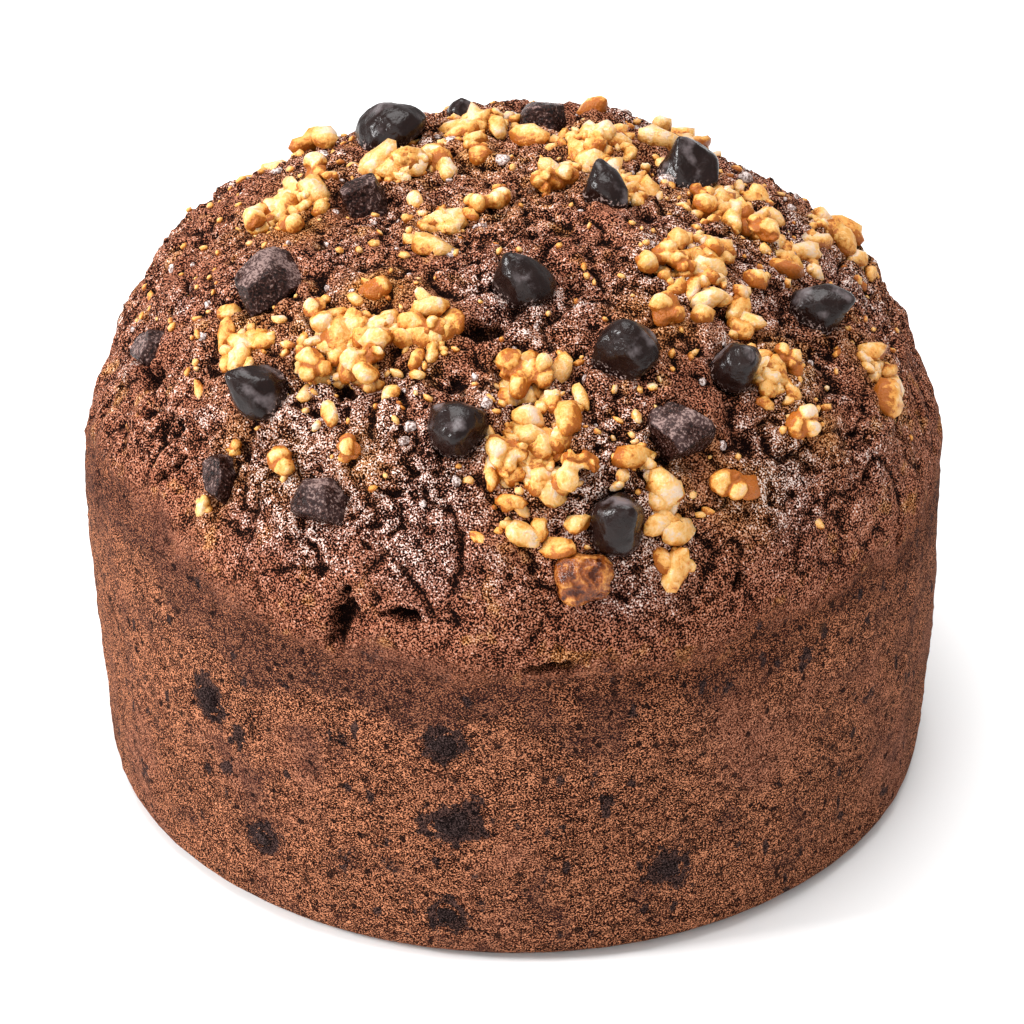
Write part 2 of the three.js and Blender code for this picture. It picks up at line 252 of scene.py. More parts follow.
def fine_copy(node, name, face):
    """A CAD node's shape as a new object, one closed skin of even faces of that size."""
    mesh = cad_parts[node].data.copy()
    obj = new_object(name, mesh)
    mesh.materials.clear()
    edit_whole(obj, bpy.ops.mesh.remove_doubles, threshold=1e-6)
    apply_modifier(obj, "REMESH", mode="VOXEL", voxel_size=face)
    return obj


def numbered(kind):
    """The nodes of one kind, each with its number."""
    return [(node, int(node[-2:])) for node in NODE_NAMES if kind in node]


def hull_of(node):
    """A topping's tight skin: the normals and distances of its planes, its middle and its reach."""
    shape = bmesh.new()
    shape.from_mesh(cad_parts[node].data)
    bmesh.ops.convex_hull(shape, input=shape.verts)
    normals = []
    distances = []
    for face in shape.faces:
        if face.calc_area() > 1e-10:
            normals.append(tuple(face.normal))
            distances.append(face.normal.dot(face.verts[0].co))
    shape.free()
    normals = np.array(normals)
    distances = np.array(distances)
    corners = points_of(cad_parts[node].data)
    middle = corners.mean(axis=0)
    inward = normals @ middle > distances
    normals[inward] *= -1
    distances[inward] *= -1
    return normals, distances, middle, np.linalg.norm(corners - middle, axis=1).max()


def distance_outside(points, hull):
    """How far points are outside a topping's skin, below zero inside it, and 1 where far away."""
    normals, distances, middle, reach = hull
    near = np.linalg.norm(points - middle, axis=1) < reach + FAR
    away = np.ones(len(points))
    away[near] = (points[near] @ normals.T - distances).max(axis=1)
    return away


def surface_of(obj):
    return BVHTree.FromObject(obj, bpy.context.evaluated_depsgraph_get())


def gaps_to(surface, points):
    return np.array([surface.find_nearest(Vector(p))[3] for p in points])


def finish_piece(obj, material, slot, *nodes):
    """Gives a piece its material and body, and hides the CAD nodes that it stands for. The slot is not used.
    """
    obj.data.materials.clear()
    obj.data.materials.append(material)
    for polygon in obj.data.polygons:
        polygon.use_smooth = True
    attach(obj, "root")
    if nodes:
        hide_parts(*nodes)


# ---- Small tools for materials ----

class Value:
    """A number or colour that varies over a surface, and the arithmetic on it."""

    def __init__(self, finish, socket):
        self.finish = finish
        self.socket = socket

    def math(self, operation, first, second):
        return self.finish.node("ShaderNodeMath", {"operation": operation}, {0: first, 1: second})

    def __add__(self, other):
        return self.math("ADD", self, other)

    def __radd__(self, other):
        return self.math("ADD", other, self)

    def __sub__(self, other):
        return self.math("SUBTRACT", self, other)

    def __rsub__(self, other):
        return self.math("SUBTRACT", other, self)

    def __mul__(self, other):
        return self.math("MULTIPLY", self, other)

    def __rmul__(self, other):
        return self.math("MULTIPLY", other, self)

    def most(self, other):
        """The larger of the two."""
        return self.math("MAXIMUM", self, other)


class Finish:
    """A material with one main shader."""

    def __init__(self, name):
        self.material = bpy.data.materials.new(name)
        self.material.use_nodes = True
        self.tree = self.material.node_tree
        self.tree.nodes.clear()
        self.output = self.tree.nodes.new("ShaderNodeOutputMaterial")
        self.place = self.node("ShaderNodeTexCoord", {}, {}, "Object")

    def node(self, kind, settings, inputs, output=0):
        made = self.tree.nodes.new(kind)
        for key, value in settings.items():
            if key == "stops":
                self.set_stops(made.color_ramp, value)
            else:
                setattr(made, key, value)
        for key, value in inputs.items():
            if isinstance(value, Value):
                self.tree.links.new(value.socket, made.inputs[key])
            else:
                made.inputs[key].default_value = value
        return Value(self, made.outputs[output])

    @staticmethod
    def set_stops(ramp, stops):
        while len(ramp.elements) < len(stops):
            ramp.elements.new(0.5)
        for element, (position, colour) in zip(ramp.elements, stops):
            element.position = position
            element.color = (*colour, 1)

    def attribute(self, name):
        return self.node("ShaderNodeAttribute", {"attribute_name": name}, {}, "Fac")

    def moved(self, seed, flat):
        """The place on the piece, shifted by the seed, with its height scaled to flatten the pattern."""
        return self.node("ShaderNodeVectorMath", {"operation": "MULTIPLY_ADD"},
                         {0: self.place, 1: (1.0, 1.0, flat), 2: (seed, seed * 0.7, -seed)})

    def cloud(self, size, seed, detail, rough, warp=0.0, flat=1.0):
        """Noise from 0 to 1 whose features are of that size, and flat times lower than wide."""
        return self.node("ShaderNodeTexNoise", {}, {"Vector": self.moved(seed, flat), "Scale": 1 / size,
                                                    "Detail": detail, "Roughness": rough,
                                                    "Distortion": warp})

    def cells(self, size, seed, flat=1.0):
        """Distance to the nearest of many scattered points, in steps of that size."""
        return self.node("ShaderNodeTexVoronoi", {}, {"Vector": self.moved(seed, flat), "Scale": 1 / size},
                         "Distance")

    def step(self, value, low, high):
        return self.node("ShaderNodeMapRange", {"interpolation_type": "SMOOTHSTEP"},
                         {"Value": value, "From Min": low, "From Max": high}, "Result")

    def mix(self, share, first, second, blend="MIX"):
        colours = {key: value if isinstance(value, Value) else (*value, 1)
                   for key, value in ((6, first), (7, second))}
        return self.node("ShaderNodeMix", {"data_type": "RGBA", "blend_type": blend},
                         {0: share, **colours}, 2)

    def ramp(self, value, stops):
        return self.node("ShaderNodeValToRGB", {"stops": stops}, {"Fac": value}, "Color")

    def upward(self):
        """1 where the surface faces up, 0 where it is upright."""
        normal = self.node("ShaderNodeNewGeometry", {}, {}, "Normal")
        parts = self.node("ShaderNodeSeparateXYZ", {}, {"Vector": normal}, "Z")
        return parts.most(0.0)

    def bump(self, height, distance, strength, under=None):
        inputs = {"Height": height, "Distance": distance, "Strength": strength}
        if under:
            inputs["Normal"] = under
        return self.node("ShaderNodeBump", {}, inputs, "Normal")

    def main(self, **sockets):
        """The main shader, whose sockets are given by name, and so the whole material."""
        inputs = {key.replace("_", " ").title().replace("Ior", "IOR"): value
                  for key, value in sockets.items()}
        shader = self.node("ShaderNodeBsdfPrincipled", {}, inputs, "BSDF")
        self.tree.links.new(shader.socket, self.output.inputs["Surface"])
        return self.material


def crumb_tone(f):
    """The fine grain of the wall: low in the pores and high on the grains."""
    grain = f.cloud(0.26 * MM, 1, 1.0, 0.5, flat=1.2)
    return grain * 0.74 + f.cloud(2.4 * MM, 2, 5.0, 0.7, flat=1.8) * 0.26


def crumb_colour(f, tone, settings):
    """Cocoa crumb, speckled in some places and calmer in others."""
    # Partly the crumb's own grain, partly painted shade: the low grain, which the bump also sinks, goes near
    # black in the pores.
    speckled = f.ramp(tone, [(0.43, settings.dark_crumb), (0.465, (0.040, 0.010, 0.005)),
                             (0.515, (0.165, 0.050, 0.025)), (0.595, settings.pale_crumb)])
    calm = f.ramp(tone, [(0.40, settings.dark_crumb), (0.445, (0.11, 0.032, 0.016)),
                         (0.515, (0.24, 0.083, 0.046)), (0.62, (0.52, 0.22, 0.13))])
    place = f.step(f.cloud(26 * MM, 3, 2.0, 0.5), 0.50, 0.66)
    return f.mix(place, speckled, calm)


def loaf_finish(settings):
    """Rough, dusted crust over fine cocoa crumb, with slate stains from the melted chocolate, and painted
    shade, sheen and glints.
    """
    f = Finish("baked_loaf")
    crust = f.attribute("crust")
    hollow = f.attribute("hollow")
    syrup = f.attribute("syrup")
    dust_and_sheen_place = f.attribute("dust")
    melted = f.attribute("melted")

    # The wall: tan crumb, with stains, painted shade in its pores and cracks, and ragged dark patches.
    tone = crumb_tone(f)
    crumb = crumb_colour(f, tone, settings)
    crumb_dark = f.mix(1.0, crumb, (0.42, 0.33, 0.28), "MULTIPLY")
    stain = f.step(f.cloud(12 * MM, 3, 5.0, 0.65) + f.attribute("stain") * 0.22, 0.52, 0.68)
    crumb = f.mix(stain * 0.5, crumb, (0.040, 0.017, 0.017))
    # Darker near the crust edge; painted light: the wall darkens less on the side the key light falls on.
    crumb = f.mix(f.attribute("toasted") * 0.6, crumb, crumb_dark)
    pit_shape = f.cells(3.0 * MM, 4) + (f.cloud(1.2 * MM, 5, 3.0, 0.65) - 0.5) * 0.9
    pit_shade = 1 - f.step(pit_shape, 0.10, 0.22)
    seam = f.cloud(3.0 * MM, 11, 3.0, 0.6, warp=1.0, flat=1.5) - 0.5
    cracks = (1 - f.step(seam * seam, 0.0, 0.0006)) * f.step(f.cloud(8 * MM, 12, 2.0, 0.5), 0.42, 0.56)
    pit_shade = pit_shade.most(cracks * 0.8)
    # Painted shade: the pores and cracks go near black.
    crumb = f.mix(pit_shade * 0.9, crumb, (0.008, 0.003, 0.003))
    ragged = f.cloud(1.9 * MM, 7, 5.0, 0.72) - 0.5
    patch_shape = f.cells(13 * MM, 6) + ragged * 0.75
    patches = 1 - f.step(patch_shape, 0.08, 0.13)
    flecks = 1 - f.step(f.cells(4.6 * MM, 14, flat=0.55) + ragged * 0.7, 0.10, 0.17)
    patches = patches.most(flecks)
    patches = patches.most(f.step(melted + ragged * 2.4, 0.35, 0.55))
    slate = f.mix(f.step(tone, 0.42, 0.62), (0.004, 0.002, 0.002), (0.060, 0.036, 0.035))
    crumb = f.mix(patches * 0.92, crumb, slate)

    # The crust: painted shade, near black, in its creases and low grain; red-brown rises; and sugar dust
    # with painted glints and sheen on the highest grains.
    rough = f.cloud(0.27 * MM, 8, 0.8, 0.5) - 0.5
    rough_wide = f.cloud(2.1 * MM, 9, 3.0, 0.62, warp=0.4) - 0.5
    crumbly = f.attribute("crumbly")
    # Painted shade also lowers the tone in the creases.
    height = rough * (crumbly * 0.22 + 0.46) + rough_wide * (crumbly * 0.36 + 0.10) + 0.5 - hollow * 0.07
    # Partly the crust's own tone, partly painted shade: the low grain, which the bump also sinks, goes near
    # black.
    skin = f.ramp(height, [(0.455, settings.dark_crust), (0.48, (0.040, 0.010, 0.005)),
                           (0.512, settings.brown_crust), (0.59, (0.50, 0.22, 0.135))])
    gold = f.ramp(height, [(0.42, (0.006, 0.0015, 0.0005)), (0.465, (0.11, 0.027, 0.004)),
                           (0.515, (0.38, 0.135, 0.028)), (0.60, (0.74, 0.44, 0.20))])
    tan = f.step(f.cloud(5.5 * MM, 16, 3.0, 0.6), 0.55, 0.68) * (1 - dust_and_sheen_place * 0.8)
    skin = f.mix(syrup.most(tan * 0.6), skin, gold)
    dust_and_sheen = f.step(dust_and_sheen_place + rough_wide * 0.7, 0.15, 0.75)
    # Painted sheen: a pale lilac-grey over the grains where the dust lies.
    skin = f.mix(dust_and_sheen * f.step(height, 0.46, 0.55) * 0.3, skin, (0.38, 0.23, 0.20))
    # Partly sugar dust, partly painted glints: near-white specks on the highest grains.
    dust = f.step(height + dust_and_sheen * 0.068, 0.62, 0.655)
    skin = f.mix(dust * 0.95, skin, settings.dust_and_glint)

    border = f.step(crust + (f.cloud(5 * MM, 15, 3.0, 0.6) - 0.5) * 1.1, 0.1, 0.9)
    base = f.mix(border, crumb, skin)
    # Painted shade: near black in the creases and crevices of the crust.
    base = f.mix(hollow * hollow * 0.9, base, (0.004, 0.0012, 0.001))
    wall_height = tone - pit_shade * 0.2 - patches * 0.12
    relief = f.bump(wall_height * (1 - crust) + height * crust, 0.9 * MM, 0.9)
    return f.main(base_color=base, roughness=0.8 - dust * 0.1, normal=relief, specular_ior_level=0.03)


def chip_finish(settings):
    """Satin dark chocolate, with painted highlights on the faces that look up."""
    f = Finish("chocolate_chip")
    smear = f.cloud(1.8 * MM, 1, 3.0, 0.6, warp=0.6)
    dusting = f.step(f.cloud(0.5 * MM, 2, 2.0, 0.6), 0.56, 0.64) * f.attribute("edge")
    base = f.mix(smear, settings.chocolate, (0.016, 0.0055, 0.004))
    fine = f.cloud(0.45 * MM, 3, 2.0, 0.5)
    # Painted highlight: pale grey-lilac streaks, mostly on the faces that look up.
    sheen = f.cloud(3.6 * MM, 6, 1.5, 0.5) - 0.5
    lie = f.step(f.upward() * 0.55 + sheen * 2.2 + (fine - 0.5) * 0.35, 0.40, 0.95)
    base = f.mix(lie * 0.3, base, (0.40, 0.33, 0.34))
    base = f.mix(dusting * 0.75, base, settings.bloom)
    relief = f.bump(fine, 0.10 * MM, 0.5)
    relief = f.bump(smear, 0.35 * MM, 0.5, relief)
    gloss = 0.19 + smear * 0.14 + dusting * 0.3
    return f.main(base_color=base, roughness=gloss, normal=relief, specular_ior_level=0.26)


def chunk_finish(settings):
    """Chopped chocolate, dusted on top and darker where it broke."""
    f = Finish("chocolate_chunk")
    grain = f.cloud(0.45 * MM, 1, 3.0, 0.65)
    lie = f.step(f.upward(), 0.25, 0.95)
    patchy = f.step(f.cloud(3.5 * MM, 4, 2.0, 0.5), 0.38, 0.62)
    bloom = f.step(grain + lie * patchy * 0.16, 0.58, 0.70)
    base = f.mix(f.step(grain, 0.38, 0.62), (0.003, 0.0009, 0.0006), (0.040, 0.014, 0.010))
    base = f.mix(lie * patchy * 0.6, base, (0.12, 0.066, 0.062))
    base = f.mix(bloom * 0.4, base, settings.bloom)
    relief = f.bump(grain, 0.30 * MM, 0.7)
    return f.main(base_color=base, roughness=0.26 + bloom * 0.3, normal=relief, specular_ior_level=0.12)


def wall_chunk_finish(settings):
    """Chocolate cut flush with the wall, scuffed, and ragged where the crumb grips its edges."""
    f = Finish("wall_chocolate")
    tone = crumb_tone(f)
    slate = f.ramp(tone, [(0.40, (0.004, 0.002, 0.002)), (0.52, (0.022, 0.012, 0.011)),
                          (0.64, (0.10, 0.062, 0.058))])
    cover = f.step(f.attribute("edge") + (f.cloud(1.9 * MM, 7, 5.0, 0.72) - 0.5) * 2.6, 0.45, 0.6)
    base = f.mix(cover, slate, crumb_colour(f, tone, settings))
    relief = f.bump(tone, 1.2 * MM, 0.9)
    return f.main(base_color=base, roughness=0.78, normal=relief, specular_ior_level=0.03)


def nut_finish(settings):
    """Toasted chopped nuts: cream where they stand out, amber lower down and between the lumps, partly syrup
    and partly painted shade.
    """
    f = Finish("nut")
    out = f.attribute("out")
    toast = f.attribute("toast")
    blotch = f.cloud(1.9 * MM, 1, 3.0, 0.6, warp=0.6)
    fine = f.cloud(0.5 * MM, 2, 3.0, 0.65)
    # Partly syrup, partly painted shade: darker amber near the crust, in the seams and lower down.
    pale = out * 0.9 - toast * 0.5 + (blotch - 0.5) * 1.7 + (fine - 0.5) * 0.9 - 0.07
    base = f.ramp(pale, [(0.0, (0.36, 0.095, 0.006)), (0.18, settings.golden_nut),
                         (0.42, (0.74, 0.38, 0.10)), (0.64, (0.80, 0.48, 0.19)),
                         (0.92, settings.pale_nut)])
    relief = f.bump(fine * 0.6 + blotch * 0.4, 0.6 * MM, 0.8)
    return f.main(base_color=base, roughness=0.42, normal=relief, specular_ior_level=0.35,
                  subsurface_weight=0.1, subsurface_scale=0.001)


def sugar_finish():
    """Coarse sugar, dusted with cocoa."""
    f = Finish("sugar")
    fine = f.cloud(0.45 * MM, 2, 2.0, 0.6)
    base = f.mix(f.step(fine, 0.40, 0.60), (0.16, 0.085, 0.065), (0.72, 0.60, 0.56))
    relief = f.bump(fine, 0.3 * MM, 0.7)
    return f.main(base_color=base, roughness=0.55, normal=relief)


def fruit_finish(settings):
    """Candied peel: glossy and orange-brown."""
    f = Finish("candied_peel")
    blotch = f.cloud(3 * MM, 1, 3.0, 0.6, warp=0.8)
    fine = f.cloud(0.7 * MM, 2, 3.0, 0.6)
    base = f.ramp(blotch * 0.6 + fine * 0.4, [(0.40, (0.05, 0.008, 0.001)), (0.50, settings.peel),
                                              (0.64, (0.60, 0.25, 0.06))])
    relief = f.bump(fine * 0.4 + blotch * 0.6, 1.0 * MM, 0.8)
    return f.main(base_color=base, roughness=0.14, normal=relief, specular_ior_level=0.32)


# ---- The loaf ----

DOME_POWER = 3.2
CROWN_POWER = 1.45
FOOT_ROUND = 4 * MM
# How closely the faces lie on the dome, on the wall and on the base.
DOME_FACES, WALL_FACES, BASE_FACES = 0.40, 0.47, 0.07


def outline_points():
    """The loaf's outline from the crown to the middle of its base, as distance out and height."""
    points = []
    for i in range(61):
        out = math.sin(i / 60 * math.pi / 2)
        height = RIM_HEIGHT + (LOAF_TOP - RIM_HEIGHT) * max(0, 1 - out ** DOME_POWER) ** (1 / CROWN_POWER)
        points.append((out * LOAF_RADIUS, height))
    points += [(LOAF_RADIUS, RIM_HEIGHT + (FOOT_ROUND - RIM_HEIGHT) * i / 20) for i in range(1, 20)]
    inner = LOAF_RADIUS - FOOT_ROUND
    for i in range(9):
        turn = i / 8 * math.pi / 2
        points.append((inner + FOOT_ROUND * math.cos(turn), FOOT_ROUND * (1 - math.sin(turn))))
    points += [(inner * (1 - i / 12), 0.0) for i in range(1, 13)]
    return np.array(points)


def spread_over_outline(sphere):
    """Moves a unit sphere's points on to the loaf's outline, closer together on the dome."""
    outline = outline_points()
    steps = np.diff(outline, axis=0)
    lengths = np.hypot(steps[:, 0], steps[:, 1])
    middles = (outline[1:] + outline[:-1]) / 2
    below = np.where(middles[:, 1] > 0.1 * MM, WALL_FACES, BASE_FACES)
    density = np.where(middles[:, 1] > RIM_HEIGHT, DOME_FACES, below)
    area = np.concatenate([[0], np.cumsum(middles[:, 0] * lengths * density)])
    share = area / area[-1]
    place = (1 - sphere[:, 2]) / 2
    out = np.interp(place, share, outline[:, 0])
    height = np.interp(place, share, outline[:, 1])
    tangents = unit(np.gradient(outline, axis=0))
    normal_out = np.interp(place, share, -tangents[:, 1])
    normal_up = np.interp(place, share, tangents[:, 0])
    round_way = unit(sphere[:, :2] + 1e-12)
    points = np.column_stack([round_way * out[:, None], height])
    normals = unit(np.column_stack([round_way * normal_out[:, None], normal_up]))
    return points, normals


def neighbours_mean(values, edges):
    """The mean of the values beside each one, along the mesh's edges."""
    total = np.bincount(edges[:, 0], values[edges[:, 1]], len(values))
    total += np.bincount(edges[:, 1], values[edges[:, 0]], len(values))
    return total / np.bincount(edges.ravel(), minlength=len(values))


def fill_in(values, unknown, edges, rounds):
    """Spreads the known values smoothly over the unknown ones."""
    values = values.copy()
    values[unknown] = np.median(values[~unknown])
    for _ in range(rounds):
        values[unknown] = neighbours_mean(values, edges)[unknown]
    return values


def blurred(values, edges, rounds):
    """The values averaged with those beside them, so many times over."""
    for _ in range(rounds):
        values = 0.5 * values + 0.5 * neighbours_mean(values, edges)
    return values


def bearing_way(bearing):
    return np.array([math.cos(math.radians(bearing)), math.sin(math.radians(bearing)), 0])


def away_from(points, bearing, share, radius):
    """How far points are, seen from above, from the middle of a patch on the dome, in its radii."""
    spot = bearing_way(bearing) * share * LOAF_RADIUS
    return np.hypot(points[:, 0] - spot[0], points[:, 1] - spot[1]) / (radius * MM)


def crevice_depth(points, spot, ragged):
    """How deep a crevice is at each point, from 0 to 1. spot gives its place and size."""
    bearing, out, height, length, width, turn = spot
    middle = bearing_way(bearing) * out * MM + np.array([0, 0, height * MM])
    level = np.cross([0, 0, 1], bearing_way(bearing))
    # Up the wall, or up the slope of the dome.
    slope = np.array([0, 0, 1]) if height < 66 else -bearing_way(bearing) * 0.7 + np.array([0, 0, 0.7])
    turned = math.radians(turn)
    along = level * math.cos(turned) + slope * math.sin(turned)
    across = slope * math.cos(turned) - level * math.sin(turned)
    rest = points - middle
    away = np.sqrt((rest @ along / (length * MM / 2)) ** 2 + (rest @ across / (width * MM / 2)) ** 2
                   + (np.linalg.norm(rest, axis=1) / (length * MM * 0.9)) ** 4)
    return 1 - smoothstep(0.35, 1.15, away + ragged * 0.45)


# Crevices: bearing, distance out, height, length, width (mm) and turn from level (degrees).
CREVICES = (
    (248, 69, 61, 11, 4, 75), (256, 70, 64, 7, 2, 5), (201, 62, 80, 8, 4.5, 10),
    (192, 68, 70, 3, 3, 0), (215, 66, 72, 6, 2, 60), (262, 36, 96, 8, 3, 20),
    (238, 50, 90, 9, 2.5, 160), (176, 50, 90, 9, 4, 70), (275, 70, 57, 9, 1.6, 5),
    (300, 69, 66, 4, 2.5, 20), (330, 70, 60, 5, 1.5, 80), (10, 66, 74, 9, 3, 30),
    (60, 69, 62, 10, 3, 80), (120, 68, 66, 9, 3, 40), (165, 69, 63, 12, 2.5, 10),
    (95, 60, 82, 9, 3, 130), (35, 55, 87, 8, 3, 60),
)

# Where chopped nuts fell thickest: bearing, share of the way out to the rim, radius (mm), and how many
# large crumbs were dropped there, each with four small ones.
NUT_CLUSTERS = (
    (176, 0.52, 8, 20), (150, 0.3, 7, 14), (12, 0.24, 8, 16), (2, 0.47, 9, 20), (352, 0.62, 6, 10),
    (325, 0.5, 9, 24), (235, 0.62, 10, 34), (250, 0.55, 6, 12), (272, 0.62, 5, 8), (273, 0.8, 9, 36),
    (318, 0.74, 8, 12), (292, 0.85, 7, 16), (212, 0.2, 7, 8), (100, 0.80, 9, 22), (60, 0.82, 8, 18),
    (140, 0.75, 7, 12), (10, 0.75, 8, 10), (215, 0.72, 7, 10), (340, 0.86, 6, 6), (225, 0.88, 5, 5),
    (105, 0.36, 7, 14), (56, 0.32, 9, 20),
)

# Where sugar dust, and the painted sheen and glints with it, lie thickest: bearing, share of the way out to
# the rim, radius (mm).
DUSTY = (
    (240, 0.82, 16), (325, 0.50, 15), (0, 0.68, 12), (270, 0.42, 9), (286, 0.88, 12),
    (258, 0.90, 12), (310, 0.90, 9), (60, 0.70, 15), (110, 0.75, 14),
)


def settled_dust(points, ragged):
    """How thickly sugar dust, with its painted sheen and glints, lies at each point, from 0 to 1, before it
    leaves the creases.
    """
    dust = 0.6 * smoothstep(0.1, 0.8, waves(points, 12 * MM, 8) + 0.3 * ragged)
    for bearing, share, radius in DUSTY:
        away = away_from(points, bearing, share, radius)
        dust = np.maximum(dust, np.exp(-(away + 0.25 * ragged) ** 2))
    return dust


def topping_traces(points):
    """How far each point is from the nearest topping, and how nutty and how stained by chocolate it is."""
    nearest = np.full(len(points), 1.0)
    nuttiness = np.zeros(len(points))
    melted = np.zeros(len(points))
    for node in TOPPINGS:
        away = distance_outside(points, hull_of(node))
        if node.startswith("wall"):
            melted = np.maximum(melted, np.exp(-np.maximum(away, 0) / (1.3 * MM)))
            continue
        nearest = np.minimum(nearest, away)
        if node.startswith("nut"):
            nuttiness = np.maximum(nuttiness, np.exp(-np.maximum(away, 0) / (3.2 * MM)))
    for bearing, share, radius, _ in NUT_CLUSTERS:
        away = away_from(points, bearing, share, 0.8 * radius)
        nuttiness = np.maximum(nuttiness, 0.85 * np.exp(-away ** 2))
    return nearest, nuttiness, melted


class PASCUA_OT_loaf(bpy.types.Operator):
    """Bake the loaf: the risen dome with its crust, and the wall that the tin held"""
    bl_idname = "pascua.loaf"
    bl_label = "Loaf"

    def execute(self, context):
        settings = context.scene.pascua_loaf
        deselect_all()
        bpy.ops.mesh.primitive_ico_sphere_add(subdivisions=7, radius=1)
        loaf = context.object
        loaf.name = "baked_loaf"
        loaf.data.name = "baked_loaf"
        self.divide_dome(loaf)
        self.fit_to_frame(loaf)
        self.raise_crust(loaf, settings)
        finish_piece(loaf, loaf_finish(settings), "crumb", "loaf")
        return {"FINISHED"}

    @staticmethod
    def divide_dome(loaf):
        """Makes the faces of the dome finer."""
        sphere = unit(points_of(loaf.data))
        points, _ = spread_over_outline(sphere)
        heights = points[triangles_of(loaf.data), 2].mean(axis=1)
        choose(loaf)
        bpy.ops.object.mode_set(mode="EDIT")
        bpy.ops.mesh.select_all(action="DESELECT")
        bpy.ops.mesh.select_mode(type="FACE")
        bpy.ops.object.mode_set(mode="OBJECT")
        loaf.data.polygons.foreach_set("select", heights > RIM_HEIGHT - 5 * MM)
        bpy.ops.object.mode_set(mode="EDIT")
        bpy.ops.mesh.subdivide(number_cuts=1)
        bpy.ops.object.mode_set(mode="OBJECT")
        set_points(loaf.data, unit(points_of(loaf.data)))

    @staticmethod
    def fit_to_frame(loaf):
        """Lays the skin on the frame's loaf, and carries it smoothly over the sockets."""
        points, normals = spread_over_outline(unit(points_of(loaf.data)))
        frame_loaf = surface_of(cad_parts["loaf"])
        start = 14 * MM
        offsets = np.zeros(len(points))
        for i, (point, normal) in enumerate(zip(points, normals)):
            hit = frame_loaf.ray_cast(Vector(point + normal * start), Vector(-normal))
            offsets[i] = start - hit[3] if hit[3] is not None else 0.0
        skin = points + normals * offsets[:, None]
        in_socket = np.zeros(len(points), dtype=bool)
        for node in TOPPINGS:
            in_socket |= distance_outside(skin, hull_of(node)) < 0.9 * MM
        offsets = fill_in(offsets, in_socket, edges_of(loaf.data), rounds=400)
        set_points(loaf.data, points + normals * offsets[:, None])

    @staticmethod
    def raise_crust(loaf, settings):
        """Works the lumps, creases, lip and pores into the skin."""
        points = points_of(loaf.data)
        normals = normals_of(loaf.data)
        height = points[:, 2]
        broad = waves(points, 17 * MM, 1)
        medium = waves(points, 6.5 * MM, 2)
        warp = np.column_stack([medium, broad, -medium]) * 2.4 * MM
        plates = waves(points + warp, 11 * MM, 3, 2)
        folds = waves(points * np.array([1, 1, 1.8]) + warp, 4.6 * MM, 4, 2)
        fine = waves(points + warp * 0.5, 2.3 * MM, 5)
        grit = waves(points, 1.2 * MM, 6, 2)

        # The crust ends higher at the left and hangs a little lower in front.
        facing = np.degrees(np.arctan2(points[:, 1], points[:, 0])) % 360
        edge = settings.crust_edge + 2.8 * MM * broad + 2.0 * MM * medium
        edge += 9 * MM * np.exp(-((facing - 207) / 20) ** 2) - 2 * MM * np.exp(-((facing - 285) / 30) ** 2)
        above = height - edge
        crust = smoothstep(-5 * MM, 8 * MM, above)
        lip = smoothstep(-1.2 * MM, 1.0 * MM, above) * (1 - smoothstep(3 * MM, 13 * MM, above))
        off_base = smoothstep(0.5 * MM, 5 * MM, height)
        on_dome = smoothstep(RIM_HEIGHT - 4 * MM, RIM_HEIGHT + 20 * MM, height)
        strength = crust * (0.25 + 0.75 * on_dome)

        plate_edges = np.exp(-(plates / 0.12) ** 2)
        fold_edges = np.exp(-(folds / 0.12) ** 2)
        crumbly = smoothstep(-0.65, 0.35, waves(points, 15 * MM, 9)) * on_dome
        dome = settings.lumps * (0.6 * broad + 0.9 * medium) - settings.creases * plate_edges - 0.6 * MM
        dome += settings.creases * (0.25 - 0.6 * fold_edges * (0.35 + 0.65 * crumbly))
        dome += settings.roughness * (0.75 * fine + 0.4 * grit) * (0.4 + 0.7 * crumbly)
        wall = MM * (0.25 * broad + 0.16 * medium + 0.16 * fine + 0.14 * grit)

        # The crust closes round each topping, and the skin sinks under it.
        nearest, nuttiness, melted = topping_traces(points)
        collar = np.exp(-((nearest - 0.9 * MM) / (0.8 * MM)) ** 2) * 0.3 * MM
        under = smoothstep(0, 1.2 * MM, -nearest) * 0.8 * MM

        crevice = np.max([crevice_depth(points, spot, 1.4 * fine + grit) for spot in CREVICES], axis=0)
        move = strength * dome + (1 - crust) * wall * off_base + settings.lip * lip
        move += crust * collar - crevice * 2.6 * MM
        low = blurred(move, edges_of(loaf.data), rounds=14) - move
        move -= under
        move *= np.where(height < 0.3 * MM, 0, 1)
        push_out(loaf, move)

        # Where the dust, stains and syrup lie, for the material, with the painted shade, sheen and glints.
        # The left is more stained, and painted lighter: the wall darkens less on the side the key light
        # falls on.
        dust = settled_dust(points, medium)
        # The dust, and its painted sheen and glints, leave the creases and the faces that don't look up.
        dust *= smoothstep(0.9, -0.4, low / MM)
        dust *= smoothstep(0.02, 0.42, normals[:, 2]) * smoothstep(1 * MM, 10 * MM, above)
        # The left, which is also the side the key light falls on.
        left = smoothstep(-0.1, 0.7, unit(points[:, :2]) @ np.array([-0.93, -0.37]))
        # Painted shade: how deep in a crease each point of the crust lies, read from the relief.
        hollow = crust * smoothstep(0.1 * MM, 0.7 * MM, low + 0.3 * MM * plate_edges)
        marks = {
            "crumbly": crumbly,
            "crust": crust,
            "dust": dust,
            "hollow": np.clip(np.maximum(crevice, hollow), 0, 1),
            "syrup": np.clip(nuttiness * (0.8 + 0.7 * medium), 0, 1) * crust,
            "melted": melted,
            "stain": np.exp(-((above + 5 * MM) / (7 * MM)) ** 2) * (0.35 + 0.65 * left),
            "toasted": smoothstep(-16 * MM, 1 * MM, above) * (1 - 0.6 * left),
        }
        for name, values in marks.items():
            set_attribute(loaf.data, name, values)


# ---- The toppings ----

